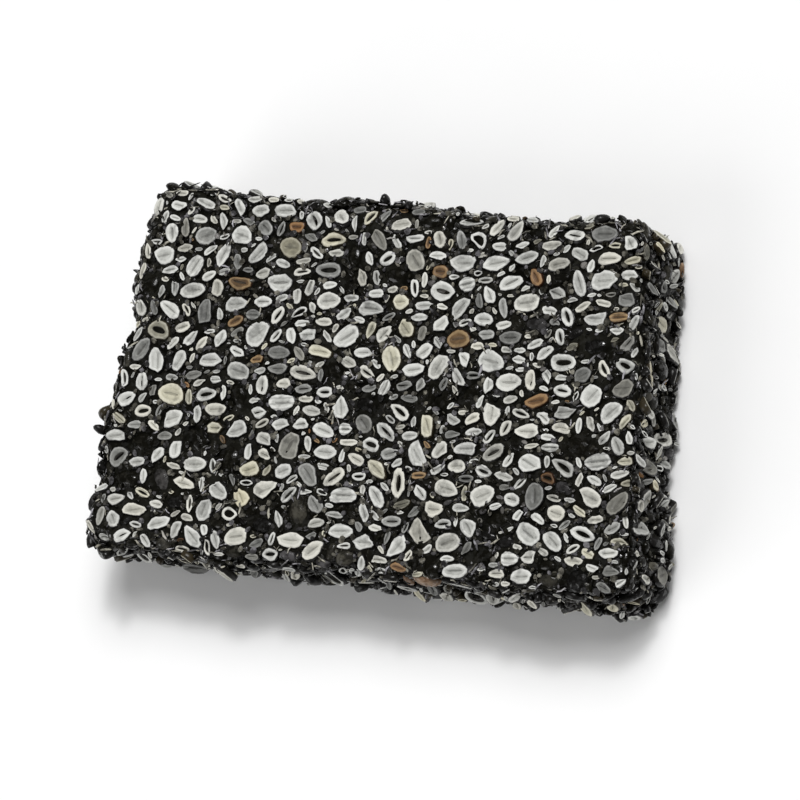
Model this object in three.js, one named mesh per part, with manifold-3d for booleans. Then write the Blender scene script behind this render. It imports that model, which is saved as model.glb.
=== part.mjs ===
// Sesame brittle slab: black sesame seeds set in hard syrup and cut into a four-sided piece.
// Both broad faces are knife cuts, so the seeds end there in flat sections that stand a little
// proud of the syrup. The edges all round are crumbly, with whole seeds bedded in them.
// Millimetres, +Z up. The slab lies on its underside at z = 0.

import * as THREE from 'three';
import { mergeVertices } from 'three/addons/utils/BufferGeometryUtils.js';
import Module from 'manifold-3d';

// Slab
const THICKNESS = 10;
const CORNERS = [[-28.5, -17.4], [28.3, -17.4], [24.7, 17.2], [-26.4, 17.6]];
const CORNER_RADIUS = 2.2;

// Syrup between the seeds
const SYRUP_DEPTH = 0.32;      // how far it lies below the flat ends of the cut seeds
const ARRIS = 0.7;             // rounding where a broad face meets the edge
const OUTLINE_STEPS = 80;
const EDGE_LEVELS = 4;
const CRAG = 0.55;             // coarse hollows and lumps along the edges
const CRAG_CELL = 4.5;
const CRUMB = 0.6;             // finer ones, about a seed wide
const CRUMB_CELL = 2.3;

// Seeds
const LONGEST_SEED = 3.0;
const SHORTEST_SEED = 0.45;
const SIZE_FALL = 2.1;         // how fast the sizes fall off from the longest to the shortest
const SLIMMEST = 0.54;         // width over length
const WIDTH_SPREAD = 0.26;
const EGG = 0.12;              // how much narrower one end is than the other
const FACE_GRAIN = 0.1;        // radians, the way most seeds point: lengthwise in a broad face
const EDGE_GRAIN = 1.45;       // and almost upright in the edge
const ALIGNMENT = 0.44;        // how strongly they do, up to 0.5
const SEED_GAP = 0.04;
const FACE_MARGIN = 0.1;
const BEDDED = 0.5;            // how far a cut seed goes on into the syrup
const FACE_SEEDS = 1300;       // on each broad face, of which the largest are modelled
const EDGE_SEEDS = 950;
const TOP_MODELLED = 140;
const UNDER_MODELLED = 100;
const EDGE_MODELLED = 76;
const SEED_SIDES = 7;
const WHOLE_SIDES = 6;
const WHOLE_STATIONS = [-1, -0.55, 0.5, 1];   // along a whole seed, in half lengths
const WHOLE_FLATNESS = 0.62;   // its thickness over its width
const MOST_LEAN = 0.9;         // radians, of a whole seed out of the plane of the edge
const EDGE_SINK = 0.22;        // how far its middle lies behind the edge's surface
const TRIES = 400;

const TURN = 2 * Math.PI;

// A repeatable run of draws between 0 and 1.
function draws(start) {
  let state = start;
  return () => {
    state = (state * 48271) % 2147483647;
    return state / 2147483647;
  };
}

// Smooth uneven values between -1 and 1, changing over one cell.
function unevenness(x, y, z, cell) {
  const at = [x / cell, y / cell, z / cell];
  const low = at.map(Math.floor);
  const part = at.map((value, i) => value - low[i]);
  const ease = part.map((t) => t * t * (3 - 2 * t));
  let sum = 0;
  for (let corner = 0; corner < 8; corner += 1) {
    const step = [corner & 1, (corner >> 1) & 1, (corner >> 2) & 1];
    const [i, j, k] = low.map((value, axis) => value + step[axis]);
    const wave = Math.sin(i * 12.9898 + j * 78.233 + k * 37.719) * 43758.5453;
    const weight = step.reduce((w, s, axis) => w * (s ? ease[axis] : 1 - ease[axis]), 1);
    sum += weight * (wave - Math.floor(wave));
  }
  return 2 * sum - 1;
}

// The sides of the outline: each runs from one inner corner to the next, a corner radius inside
// the cut, and carries its outward normal.
function cutSides() {
  const lines = CORNERS.map(([x, y], i) => {
    const [nextX, nextY] = CORNERS[(i + 1) % CORNERS.length];
    const length = Math.hypot(nextX - x, nextY - y);
    const nx = (nextY - y) / length;
    const ny = -(nextX - x) / length;
    return { nx, ny, reach: nx * x + ny * y - CORNER_RADIUS };
  });
  const meet = (a, b) => {
    const spread = a.nx * b.ny - a.ny * b.nx;
    return {
      x: (a.reach * b.ny - a.ny * b.reach) / spread,
      y: (a.nx * b.reach - a.reach * b.nx) / spread,
    };
  };
  return lines.map((line, i) => {
    const from = meet(lines[(i + 3) % 4], line);
    const to = meet(line, lines[(i + 1) % 4]);
    const next = lines[(i + 1) % 4];
    const bend = Math.acos(line.nx * next.nx + line.ny * next.ny);
    return { ...line, from, to, bend, length: Math.hypot(to.x - from.x, to.y - from.y) };
  });
}

const sides = cutSides();
const outlineLength = sides.reduce((sum, side) => sum + side.length + CORNER_RADIUS * side.bend, 0);

// The point and outward normal at a distance along the outline.
function outlineAt(distance) {
  let left = distance;
  for (const side of sides) {
    if (left <= side.length) {
      const x = side.from.x - side.ny * left + side.nx * CORNER_RADIUS;
      const y = side.from.y + side.nx * left + side.ny * CORNER_RADIUS;
      return { x, y, nx: side.nx, ny: side.ny };
    }
    left -= side.length;
    const arc = CORNER_RADIUS * side.bend;
    if (left <= arc) {
      const angle = Math.atan2(side.ny, side.nx) + left / CORNER_RADIUS;
      const nx = Math.cos(angle);
      const ny = Math.sin(angle);
      return { x: side.to.x + nx * CORNER_RADIUS, y: side.to.y + ny * CORNER_RADIUS, nx, ny };
    }
    left -= arc;
  }
  return outlineAt(0);
}

// How far a point lies inside the outline, negative outside it.
function depthInside(x, y) {
  const reach = Math.max(...sides.map((side) => side.nx * x + side.ny * y - side.reach));
  if (reach <= 0) {
    return CORNER_RADIUS - reach;
  }
  const gaps = sides.map((side) => {
    const along = (y - side.from.y) * side.nx - (x - side.from.x) * side.ny;
    const clamped = Math.min(side.length, Math.max(0, along));
    return Math.hypot(x - side.from.x + side.ny * clamped, y - side.from.y - side.nx * clamped);
  });
  return CORNER_RADIUS - Math.min(...gaps);
}

// How far the crumbly edge stands out from the clean outline, or falls short of it.
function crumble(x, y, z) {
  return CRAG * unevenness(x, y, z, CRAG_CELL) + CRUMB * unevenness(x, y, z, CRUMB_CELL);
}

// The syrup with everything finer than the modelled seeds: rings of the outline from the
// underside up, drawn in at the worn arrises and roughened, closed by a flat at each end.
function syrupBlock() {
  const rise = (THICKNESS - 2 * SYRUP_DEPTH - 2 * ARRIS) / EDGE_LEVELS;
  const rings = [{ z: SYRUP_DEPTH, inset: ARRIS }];
  for (let level = 0; level <= EDGE_LEVELS; level += 1) {
    rings.push({ z: SYRUP_DEPTH + ARRIS + level * rise, inset: 0 });
  }
  rings.push({ z: THICKNESS - SYRUP_DEPTH, inset: ARRIS });

  const points = [];
  for (const { z, inset } of rings) {
    for (let i = 0; i < OUTLINE_STEPS; i += 1) {
      const { x, y, nx, ny } = outlineAt((i / OUTLINE_STEPS) * outlineLength);
      const out = crumble(x, y, z) - inset;
      points.push(new THREE.Vector3(x + nx * out, y + ny * out, z));
    }
  }

  const faces = [];
  for (let ring = 0; ring + 1 < rings.length; ring += 1) {
    for (let i = 0; i < OUTLINE_STEPS; i += 1) {
      const [a, b] = [i, (i + 1) % OUTLINE_STEPS].map((at) => ring * OUTLINE_STEPS + at);
      const [c, d] = [a + OUTLINE_STEPS, b + OUTLINE_STEPS];
      faces.push(a, b, d, a, d, c);
    }
  }
  const lid = (rings.length - 1) * OUTLINE_STEPS;
  const flat = (first) => points.slice(first, first + OUTLINE_STEPS)
    .map((point) => new THREE.Vector2(point.x, point.y));
  for (const [a, b, c] of THREE.ShapeUtils.triangulateShape(flat(0), [])) {
    faces.push(a, c, b);
  }
  for (const [a, b, c] of THREE.ShapeUtils.triangulateShape(flat(lid), [])) {
    faces.push(lid + a, lid + b, lid + c);
  }

  const block = new THREE.BufferGeometry().setFromPoints(points);
  block.setIndex(faces);
  return block;
}

// The length of a seed by its place in the order of size.
function seedLength(rank, total) {
  return SHORTEST_SEED + (LONGEST_SEED - SHORTEST_SEED) * (1 - rank / total) ** SIZE_FALL;
}

// Three circles that cover a seed lying flat: its blunt end, middle and narrow end.
function footprint(seed) {
  const cos = Math.cos(seed.turn);
  const sin = Math.sin(seed.turn);
  const narrow = 1 - EGG;
  return [
    [-(seed.long - seed.wide), seed.wide],
    [0, seed.wide],
    [seed.long - seed.wide * narrow, seed.wide * narrow],
  ].map(([offset, radius]) => [seed.u + offset * cos, seed.v + offset * sin, radius]);
}

// The direction of a seed for an even draw: any way, but more often along the grain.
function seedTurn(draw, grain) {
  return grain + draw * TURN - ALIGNMENT * Math.sin(2 * draw * TURN);
}

// Lays seeds on a surface from the largest down, each where a fresh draw finds room for it.
function layOut(start, total, modelled, width, height, grain, fits) {
  const draw = draws(start);
  const laid = [];
  const taken = [];
  for (let rank = 0; rank < modelled; rank += 1) {
    for (let go = 0; go < TRIES; go += 1) {
      const long = seedLength(rank, total) / 2;
      const u = (draw() - 0.5) * width;
      const v = (draw() - 0.5) * height;
      const turn = seedTurn(draw(), grain);
      const wide = long * (SLIMMEST + WIDTH_SPREAD * draw());
      const seed = { rank, long, wide, u, v, turn, lean: draw() };
      const circles = footprint(seed);
      const clear = ([x, y, r]) => fits(x, y, r)
        && taken.every(([tx, ty, tr]) => Math.hypot(x - tx, y - ty) >= r + tr + SEED_GAP);
      if (circles.every(clear)) {
        laid.push(seed);
        taken.push(...circles);
        break;
      }
    }
  }
  return laid;
}

// Half the width of a seed at a place along it, from -1 at the blunt end to 1 at the narrow end.
function seedGirth(along) {
  return Math.sqrt(1 - along * along) * (1 - EGG * along);
}

// A cut seed: an egg-shaped flat that goes straight down into the syrup.
function cutSeed(seed, top) {
  const shape = new THREE.Shape();
  for (let i = 0; i < SEED_SIDES; i += 1) {
    const angle = ((i + 0.5) / SEED_SIDES) * TURN;
    const along = Math.cos(angle);
    const x = seed.long * along;
    const y = seed.wide * seedGirth(along) * Math.sign(Math.sin(angle));
    if (i === 0) {
      shape.moveTo(x, y);
    } else {
      shape.lineTo(x, y);
    }
  }
  const depth = SYRUP_DEPTH + BEDDED;
  const flat = new THREE.ExtrudeGeometry(shape, { depth, bevelEnabled: false });
  flat.rotateZ(seed.turn);
  flat.translate(seed.u, seed.v, top ? THICKNESS - depth : 0);
  return flat;
}

// A whole seed, bedded lengthwise in the crumbly edge: an egg-shaped body, flatter one way.
function wholeSeed(seed) {
  const profile = WHOLE_STATIONS.map((along) => {
    const girth = Math.abs(along) === 1 ? 0 : seed.wide * seedGirth(along);
    return new THREE.Vector2(girth, along * seed.long);
  });
  const body = new THREE.LatheGeometry(profile, WHOLE_SIDES);
  body.scale(1, 1, WHOLE_FLATNESS);
  const { x, y, nx, ny } = outlineAt(seed.u + outlineLength / 2);
  const z = seed.v + THICKNESS / 2;
  const out = crumble(x, y, z) - EDGE_SINK;
  body.rotateX((seed.lean - 0.5) * MOST_LEAN);
  body.rotateZ(seed.turn - Math.PI / 2);
  const placed = new THREE.Matrix4().makeBasis(
    new THREE.Vector3(-ny, nx, 0),
    new THREE.Vector3(0, 0, 1),
    new THREE.Vector3(nx, ny, 0),
  );
  placed.setPosition(x + nx * out, y + ny * out, z);
  body.applyMatrix4(placed);
  return body;
}

const wasm = await Module();
wasm.setup();

// The same shape as a closed solid that can be joined to others.
function solidOf(geometry) {
  geometry.deleteAttribute('normal');
  geometry.deleteAttribute('uv');
  const merged = mergeVertices(geometry, 1e-4);
  return new wasm.Manifold(new wasm.Mesh({
    numProp: 3,
    vertProperties: new Float32Array(merged.getAttribute('position').array),
    triVerts: new Uint32Array(merged.index.array),
  }));
}

function fused(geometries) {
  const solid = geometries.map(solidOf).reduce((joined, piece) => joined.add(piece));
  const mesh = solid.getMesh();
  const geometry = new THREE.BufferGeometry();
  geometry.setAttribute('position', new THREE.BufferAttribute(mesh.vertProperties, 3));
  geometry.setIndex(new THREE.BufferAttribute(mesh.triVerts, 1));
  geometry.computeVertexNormals();
  return geometry;
}

const width = CORNERS[1][0] - CORNERS[0][0];
const height = CORNERS[3][1] - CORNERS[0][1];
const onFace = (x, y, r) => depthInside(x, y) >= r + FACE_MARGIN;
const onEdge = (along, up, r) => Math.abs(up) <= THICKNESS / 2 - ARRIS - 0.4 * r
  && Math.abs(along) <= outlineLength / 2;

const topSeeds = layOut(4181, FACE_SEEDS, TOP_MODELLED, width, height, FACE_GRAIN, onFace);
const underSeeds = layOut(6765, FACE_SEEDS, UNDER_MODELLED, width, height, FACE_GRAIN, onFace);
const edgeSeeds = layOut(2584, EDGE_SEEDS, EDGE_MODELLED, outlineLength, THICKNESS, EDGE_GRAIN, onEdge);

const slab = new THREE.Mesh(
  fused([
    syrupBlock(),
    ...topSeeds.map((seed) => cutSeed(seed, true)),
    ...underSeeds.map((seed) => cutSeed(seed, false)),
    ...edgeSeeds.map(wholeSeed),
  ]),
  new THREE.MeshStandardMaterial({ color: 0x5f5f5a, roughness: 0.45, metalness: 0 }),
);
slab.name = 'brittle_slab';

const group = new THREE.Group();
group.add(slab);

export default group;
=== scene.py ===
"""Sesame brittle slab: black sesame seeds set in hard dark syrup, knife-cut on both broad faces.

The syrup is one remeshed body, roughened along its edges and sunk between the seeds. Every seed is a
closed body of its own at true size: cut seeds lie flush in the two broad faces, and whole and split
ones are bedded in the crumbly edges. Crumbs, thin husks of coat and splinters fill in between; the
pale husks also stand in for painted glints along wet seed coats. The largest seeds follow the same
seeded rule as in the solid that they replace, and the smaller ones are fitted in between them.
Lengths are in millimetres until a mesh is made.
"""

import math

import bpy
import numpy as np
from mathutils import Matrix, Vector


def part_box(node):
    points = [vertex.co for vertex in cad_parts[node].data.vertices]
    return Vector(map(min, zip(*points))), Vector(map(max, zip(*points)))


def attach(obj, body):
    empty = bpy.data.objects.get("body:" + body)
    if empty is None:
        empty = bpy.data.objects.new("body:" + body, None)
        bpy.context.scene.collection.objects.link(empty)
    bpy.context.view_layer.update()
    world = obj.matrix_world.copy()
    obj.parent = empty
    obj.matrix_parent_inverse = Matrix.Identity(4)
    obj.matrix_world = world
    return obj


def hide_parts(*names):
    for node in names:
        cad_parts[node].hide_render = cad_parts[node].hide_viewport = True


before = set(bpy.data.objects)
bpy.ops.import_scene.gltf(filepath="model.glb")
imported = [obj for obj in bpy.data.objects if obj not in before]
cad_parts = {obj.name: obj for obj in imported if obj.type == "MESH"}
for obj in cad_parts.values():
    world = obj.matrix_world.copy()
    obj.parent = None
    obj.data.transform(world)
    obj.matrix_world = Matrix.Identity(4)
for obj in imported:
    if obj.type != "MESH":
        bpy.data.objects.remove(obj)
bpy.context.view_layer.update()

MM = 0.001
TURN = 2 * math.pi

# The slab, as it is cut
THICKNESS = (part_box("brittle_slab")[1][2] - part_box("brittle_slab")[0][2]) / MM
CORNERS = [(-28.5, -17.4), (28.3, -17.4), (24.7, 17.2), (-26.4, 17.6)]
FACE_WIDE, FACE_TALL = CORNERS[1][0] - CORNERS[0][0], CORNERS[3][1] - CORNERS[0][1]
CORNER_RADIUS = 2.2
SYRUP_DEPTH = 0.32          # how far the syrup lies below the flat ends of the cut seeds
ARRIS = 0.7                 # rounding where a broad face meets the edge
CRAG, CRAG_CELL = 0.55, 4.5     # coarse hollows and lumps along the edges
CRUMB, CRUMB_CELL = 0.6, 2.3    # and finer ones, about a seed wide

# The seeds
LONGEST_SEED = 3.0
SHORTEST_SEED = 0.45
SIZE_FALL = 2.1             # how fast the sizes fall off from the longest to the shortest
SLIMMEST = 0.54             # width over length
WIDTH_SPREAD = 0.26
LONGEST_SMALL = 2.2         # of the seeds that the solid leaves out
SMALL_FALL = 1.3
SMALL_SLIMMEST = 0.48
SMALL_SPREAD = 0.38         # they range up to nearly round, as they are cut across
EGG = 0.12                  # how much narrower one end is than the other
FACE_GRAIN = 0.1            # radians, the way most seeds point: lengthwise in a broad face
EDGE_GRAIN = 1.45           # and almost upright in the edge
ALIGNMENT = 0.44            # how strongly they do
SEED_GAP = 0.04
FACE_MARGIN = 0.1
ARRIS_SHARE = 0.4           # how much of a seed's radius keeps clear of the arris, in the edge
FACE_SEEDS = 1300           # on each broad face, of which the largest are modelled in the solid
EDGE_SEEDS = 950
TOP_MODELLED = 140
UNDER_MODELLED = 100
EDGE_MODELLED = 76
TOP_DRAWS, UNDER_DRAWS, EDGE_DRAWS, LOOK_DRAWS = 4181, 6765, 2584, 1597     # where draws start
WHOLE_FLATNESS = 0.62       # thickness over width of a whole seed
MOST_LEAN = 0.9             # radians, the range of a seed's lean out of the plane of the edge
LOOSE_LEAN = 1.4            # the same for the seeds that the solid leaves out
EDGE_SINK = 0.22            # how far a whole seed's middle lies behind the edge's surface
TRIES = 400
UPPER_CRUMBS = 2700         # bits in the gaps of the broad faces
UNDER_CRUMBS = 1200
EDGE_CRUMBS = 2700
ARRIS_SLIVERS = 620         # thin splinters of seed along the two arrises
# The husks are pale flakes of coat that also stand in for painted glints along wet seed coats.
FACE_HUSKS = 800            # and thin bent flakes of coat where the upper face is worn or dark
EDGE_HUSKS = 420
BATCH = 24                  # tries at a time for the seeds that the solid leaves out
RASTER = 0.1                # the spacing at which free room is kept track of
CHUNK = 4000                # points at a time where each is compared with every seed or sample


# ---------------------------------------------------------------- the outline and its roughness

def unevenness(x, y, z, cell):
    """Smooth uneven values between -1 and 1, changing over one cell."""
    at = np.stack(np.broadcast_arrays(x, y, z)) / cell
    low = np.floor(at)
    blend = (at - low) ** 2 * (3 - 2 * (at - low))
    total = np.zeros(at.shape[1:])
    for corner in range(8):
        step = np.array([corner & 1, (corner >> 1) & 1, (corner >> 2) & 1])
        i, j, k = (low[axis] + step[axis] for axis in range(3))
        wave = np.sin(i * 12.9898 + j * 78.233 + k * 37.719) * 43758.5453
        weight = np.ones(at.shape[1:])
        for axis in range(3):
            weight = weight * (blend[axis] if step[axis] else 1 - blend[axis])
        total += weight * (wave - np.floor(wave))
    return 2 * total - 1


def crumble(x, y, z):
    """How far the crumbly edge stands out from the clean outline, or falls short of it."""
    return CRAG * unevenness(x, y, z, CRAG_CELL) + CRUMB * unevenness(x, y, z, CRUMB_CELL)


def cut_sides():
    """The sides of the outline, each from one inner corner to the next with its normal."""
    lines = []
    for (x, y), (next_x, next_y) in zip(CORNERS, CORNERS[1:] + CORNERS[:1]):
        length = math.hypot(next_x - x, next_y - y)
        nx, ny = (next_y - y) / length, -(next_x - x) / length
        lines.append((nx, ny, nx * x + ny * y - CORNER_RADIUS))

    def meet(a, b):
        spread = a[0] * b[1] - a[1] * b[0]
        return (a[2] * b[1] - a[1] * b[2]) / spread, (a[0] * b[2] - a[2] * b[0]) / spread

    sides = []
    for i, line in enumerate(lines):
        after = lines[(i + 1) % 4]
        start, end = meet(lines[i - 1], line), meet(line, after)
        bend = math.acos(line[0] * after[0] + line[1] * after[1])
        sides.append({"normal": line[:2], "reach": line[2], "start": start, "end": end,
                      "bend": bend, "length": math.dist(start, end)})
    return sides


SIDES = cut_sides()
OUTLINE_LENGTH = sum(side["length"] + CORNER_RADIUS * side["bend"] for side in SIDES)


def outline_at(distance):
    """Points and outward normals at distances along the outline."""
    distance = np.asarray(distance, float) % OUTLINE_LENGTH
    x, y, nx, ny = (np.zeros_like(distance) for _ in range(4))
    begin = 0.0
    for side in SIDES:
        (sx, sy), (sn, sm) = side["start"], side["normal"]
        on = (distance >= begin) & (distance <= begin + side["length"])
        along = distance[on] - begin
        x[on] = sx - sm * along + sn * CORNER_RADIUS
        y[on] = sy + sn * along + sm * CORNER_RADIUS
        nx[on], ny[on] = sn, sm
        begin += side["length"]
        arc = CORNER_RADIUS * side["bend"]
        on = (distance > begin) & (distance < begin + arc)
        angle = math.atan2(sm, sn) + (distance[on] - begin) / CORNER_RADIUS
        nx[on], ny[on] = np.cos(angle), np.sin(angle)
        x[on] = side["end"][0] + nx[on] * CORNER_RADIUS
        y[on] = side["end"][1] + ny[on] * CORNER_RADIUS
        begin += arc
    return x, y, nx, ny


def depth_inside(x, y):
    """How far points lie inside the outline (negative outside), with the way out."""
    x, y = np.asarray(x, float), np.asarray(y, float)
    reaches = np.stack([s["normal"][0] * x + s["normal"][1] * y - s["reach"] for s in SIDES])
    reach = reaches.max(axis=0)
    side = reaches.argmax(axis=0)
    normals = np.array([s["normal"] for s in SIDES])
    out_x, out_y = normals[side, 0], normals[side, 1]
    gap = np.full(x.shape, np.inf)
    for s in SIDES:
        (sx, sy), (nx, ny) = s["start"], s["normal"]
        along = np.clip((y - sy) * nx - (x - sx) * ny, 0, s["length"])
        dx, dy = x - sx + ny * along, y - sy - nx * along
        here = np.hypot(dx, dy)
        nearer = (reach > 0) & (here < gap)
        gap = np.where(nearer, here, gap)
        out_x = np.where(nearer, dx / np.maximum(here, 1e-9), out_x)
        out_y = np.where(nearer, dy / np.maximum(here, 1e-9), out_y)
    return CORNER_RADIUS - np.where(reach > 0, gap, reach), out_x, out_y


# ---------------------------------------------------------------- laying the seeds

def draws(start):
    """A repeatable run of draws between 0 and 1."""
    state = start
    while True:
        state = (state * 48271) % 2147483647
        yield state / 2147483647


def seed_length(rank, total):
    """The length of a seed that is in the solid too, by its rank in size."""
    return SHORTEST_SEED + (LONGEST_SEED - SHORTEST_SEED) * (1 - rank / total) ** SIZE_FALL


def small_length(rank, modelled, total):
    """The length of a seed that the solid leaves out, by its rank in size."""
    left = 1 - (rank - modelled) / (total - modelled)
    return SHORTEST_SEED + (LONGEST_SMALL - SHORTEST_SEED) * left ** SMALL_FALL


def seed_turn(draw, grain):
    """The direction of a seed for an even draw: any way, but more often along the grain."""
    return grain + draw * TURN - ALIGNMENT * np.sin(2 * draw * TURN)


def footprint(u, v, turn, half_long, half_wide):
    """Three circles that cover a seed lying flat: its blunt end, middle and narrow end."""
    narrow = 1 - EGG
    offsets = np.stack([-(half_long - half_wide), 0 * half_long, half_long - half_wide * narrow])
    radii = np.stack([half_wide, half_wide, half_wide * narrow])
    return u + offsets * np.cos(turn), v + offsets * np.sin(turn), radii


def lay_seeds(start, total, modelled, width, height, grain, reach):
    """Seeds from the largest down, each where a draw finds room for it.

    The first ones repeat the solid's own rule draw by draw. The rest are tried many at a time, at
    places where a raster of the free room has space for them. Returns an array of rank, half
    length, half width, u, v, turn and lean, and the circles that cover them.
    """
    draw = draws(start)
    laid, taken = [], np.zeros((3, 0))

    def clear(circles):
        cx, cy, cr = (c[..., None] for c in circles)
        near = np.hypot(cx - taken[0], cy - taken[1]) < cr + taken[2] + SEED_GAP
        return (reach(circles[0], circles[1]) >= circles[2]).all(axis=0) & ~near.any(axis=(0, 2))

    for rank in range(modelled):
        half_long = seed_length(rank, total) / 2
        for _ in range(TRIES):
            u, v = (next(draw) - 0.5) * width, (next(draw) - 0.5) * height
            turn = seed_turn(next(draw), grain)
            half_wide = half_long * (SLIMMEST + WIDTH_SPREAD * next(draw))
            lean = next(draw)
            circles = footprint(*(np.array([n]) for n in (u, v, turn, half_long, half_wide)))
            if clear(circles)[0]:
                laid.append((rank, half_long, half_wide, u, v, turn, lean))
                taken = np.hstack([taken, np.stack(circles)[:, :, 0]])
                break

    columns = np.arange(-width / 2, width / 2, RASTER)
    lines = np.arange(-height / 2, height / 2, RASTER)
    room = reach(*np.meshgrid(columns, lines))

    def fill(circles):
        for cx, cy, cr in circles.T:
            span = np.array((-1, 1)) * (cr + LONGEST_SEED / 2)
            across = slice(*np.searchsorted(columns, cx + span))
            up = slice(*np.searchsorted(lines, cy + span))
            away = np.hypot(columns[across] - cx, lines[up, None] - cy) - cr
            room[up, across] = np.minimum(room[up, across], away)

    fill(taken)
    rng = np.random.default_rng(start)
    for rank in range(modelled, total):
        half = small_length(rank, modelled, total) / 2
        places = np.flatnonzero(room >= half * SMALL_SLIMMEST + SEED_GAP)
        for _ in range(TRIES // BATCH if len(places) else 0):
            chosen = rng.choice(places, BATCH)
            u = columns[chosen % len(columns)] + rng.uniform(-RASTER / 2, RASTER / 2, BATCH)
            v = lines[chosen // len(columns)] + rng.uniform(-RASTER / 2, RASTER / 2, BATCH)
            turn, lean = seed_turn(rng.random(BATCH), grain), rng.random(BATCH)
            half_wide = half * (SMALL_SLIMMEST + SMALL_SPREAD * rng.random(BATCH))
            circles = footprint(u, v, turn, np.full(BATCH, half), half_wide)
            free = np.flatnonzero(clear(circles))
            if len(free):
                k = free[0]
                laid.append((rank, half, half_wide[k], u[k], v[k], turn[k], lean[k]))
                new = np.stack(circles)[:, :, k]
                taken = np.hstack([taken, new])
                fill(new)
                break
    return np.array(laid), taken


def face_reach(x, y):
    """The radius of the largest circle that fits in a broad face at a place."""
    return depth_inside(x, y)[0] - FACE_MARGIN


def edge_reach(along, up):
    """The same in the unrolled edge, where seeds may reach a little over the arris."""
    within = (THICKNESS / 2 - ARRIS - np.abs(up)) / ARRIS_SHARE
    return np.where(np.abs(along) <= OUTLINE_LENGTH / 2, within, -1.0)


# ---------------------------------------------------------------- meshes

def mesh_piece(name, points, faces, values=None, smooth=True):
    """A piece from points in millimetres and faces of three or four corners."""
    mesh = bpy.data.meshes.new(name)
    corners = np.concatenate([np.asarray(f, np.int32).ravel() for f in faces])
    sizes = np.concatenate([np.full(len(f), f.shape[1], np.int32) for f in faces])
    mesh.vertices.add(len(points))
    mesh.vertices.foreach_set("co", (points * MM).astype(np.float32).ravel())
    mesh.loops.add(len(corners))
    mesh.loops.foreach_set("vertex_index", corners)
    mesh.polygons.add(len(sizes))
    mesh.polygons.foreach_set("loop_start", np.concatenate([[0], np.cumsum(sizes)[:-1]]))
    mesh.polygons.foreach_set("use_smooth", np.full(len(sizes), smooth))
    mesh.update(calc_edges=True)
    mesh.validate()
    for key, array in (values or {}).items():
        attribute = mesh.attributes.new(key, "FLOAT_VECTOR", "POINT")
        attribute.data.foreach_set("vector", np.asarray(array, np.float32).ravel())
    piece = bpy.data.objects.new(name, mesh)
    bpy.context.collection.objects.link(piece)
    return piece


def joined_piece(name, parts, smooth=True):
    """One piece of several parts: each its points, faces, looks and places on the seed."""
    shifts = np.cumsum([0] + [len(part[0]) for part in parts])
    faces = [f + shift for part, shift in zip(parts, shifts) for f in part[1]]
    points, look, where = (np.concatenate([part[k] for part in parts]) for k in (0, 2, 3))
    return mesh_piece(name, points, faces, {"seed_look": look, "seed_place": where}, smooth)


def ringed_faces(count, rings, around):
    """Faces of many closed bodies of stacked rings, each closed by a point at both ends."""
    i = np.arange(around)
    j = (i + 1) % around
    quads = np.concatenate([np.stack([i, j, around + j, around + i], 1) + r * around
                            for r in range(rings - 1)])
    low, high, top = rings * around, rings * around + 1, (rings - 1) * around
    caps = np.concatenate([np.stack([j, i, np.full(around, low)], 1),
                           np.stack([top + i, top + j, np.full(around, high)], 1)])
    shift = (np.arange(count) * (rings * around + 2))[:, None, None]
    return [(quads[None] + shift).reshape(-1, 4), (caps[None] + shift).reshape(-1, 3)]


# ---------------------------------------------------------------- where seeds stand

SUNK_INSIDE = 1.0           # how deep the ends of edge seeds go inside a broad face's outline
ARRIS_WEAR = 0.5            # how far the arris is worn down, over its rounding
CHIP, CHIP_REACH = 0.95, 2.6    # how deep the chips are, and how far in from the border they reach
PROUD_SHARE = 0.3           # how much is kept of what would stand out of the upper face

# Patterns read from the unevenness: the height at which each is read, and its cell
CHIP_LEVEL, CHIP_CELL = 20.0, 3.4
PATCH_LEVEL, PATCH_CELL = 7.0, 3.4      # the dark patches of the faces
WORN_LEVEL, WORN_CELL = 3.0, 4.0        # the worn stretches of their borders
HUSK_LEVEL, HUSK_CELL = 8.0, 3.4        # where husks gather
BAND_LEVEL, BAND_CELL = 11.0, 7.0       # the dark stretches of the edges


def ease(low, high, value):
    """A smooth rise from 0 to 1 between two values, or a fall where the first is the larger."""
    t = np.clip((value - low) / (high - low), 0, 1)
    return t * t * (3 - 2 * t)


def basis(turn, lean, roll, across, up, out):
    """Each seed's own axes: lengthwise, crosswise and out, for a surface with these three axes."""
    cos, sin = np.cos(turn)[:, None], np.sin(turn)[:, None]
    flat = cos * across + sin * up
    side = cos * up - sin * across
    tip, rise = np.cos(lean)[:, None], np.sin(lean)[:, None]
    proud = tip * out - rise * flat
    cos, sin = np.cos(roll)[:, None], np.sin(roll)[:, None]
    return np.stack([tip * flat + rise * out, cos * side + sin * proud, cos * proud - sin * side], 1)


def wear(x, y, top):
    """How far a broad face has worn and chipped away near its border, by place."""
    depth = depth_inside(x, y)[0]
    chip = CHIP * ease(0.05, 0.75, unevenness(x, y, CHIP_LEVEL + top, CHIP_CELL))
    return ARRIS * ARRIS_WEAR * ease(2 * ARRIS, 0.0, depth) + chip * ease(CHIP_REACH, 0.3, depth)


def stand_on_face(seeds, top, lean=0.0):
    """Origins and axes of seeds in the upper face, or in the underside."""
    n = len(seeds)
    level = np.zeros(n)
    sign = 1.0 if top else -1.0
    x, y = seeds[:, 3], seeds[:, 4]
    z, nudge = wear(x, y, top), 0.05
    slope_x = (wear(x + nudge, y, top) - z) / nudge
    slope_y = (wear(x, y + nudge, top) - z) / nudge
    out = np.stack([slope_x, slope_y, np.ones(n)], 1) * (1, 1, sign)
    out /= np.linalg.norm(out, axis=1)[:, None]
    across = np.cross(np.tile([0, sign, 0], (n, 1)), out)
    across /= np.linalg.norm(across, axis=1)[:, None]
    axes = basis(seeds[:, 5] * sign, level + lean, level, across, np.cross(out, across), out)
    return np.stack([x, y, THICKNESS - z if top else z], 1), axes


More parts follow.
